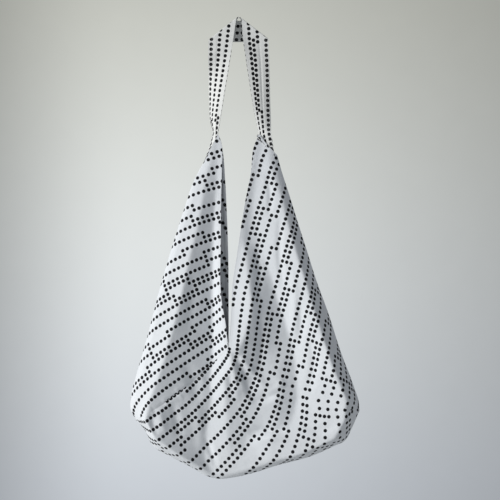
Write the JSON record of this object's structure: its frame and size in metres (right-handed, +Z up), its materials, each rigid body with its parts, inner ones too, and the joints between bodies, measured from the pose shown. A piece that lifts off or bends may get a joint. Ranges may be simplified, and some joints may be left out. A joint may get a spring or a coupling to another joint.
{
  "type": "cloth shoulder bag",
  "caption": "Limp folded cotton shoulder bag with two pointed halves, an open V mouth, a sagging base and a flat strap that swings at its necks.",
  "frame": {"origin": "top of the strap, midway between its two folds, where the bag is hung or carried", "axes": "+Z up the hanging bag, -Y out of its front with the seam that runs to the left corner, +X to the right of the front"},
  "size_m": [0.5059, 0.1005, 1.0169],
  "materials": {
    "printed_cotton": "plain-woven white cotton, printed with rows of black dots",
    "turned_cotton": "turned and felled edges of the same white cotton"
  },
  "bodies": {
    "strap": {"strap": "printed_cotton"},
    "bag": {"strap_end_left": "printed_cotton", "strap_end_right": "printed_cotton", "left_panel": "printed_cotton", "right_panel": "printed_cotton", "base_panel": "printed_cotton", "hem_left_front": "turned_cotton", "hem_left_back": "turned_cotton", "hem_right_front": "turned_cotton", "hem_right_back": "turned_cotton", "seam_left": "turned_cotton", "seam_right": "turned_cotton"}
  },
  "joints": [
    {"name": "strap_swing", "type": "hinge", "parent": "strap", "child": "bag", "pos_m": [0, -0.0072, -0.256], "axis": [1, 0, 0], "range_deg": [-120, 120]}
  ]
}
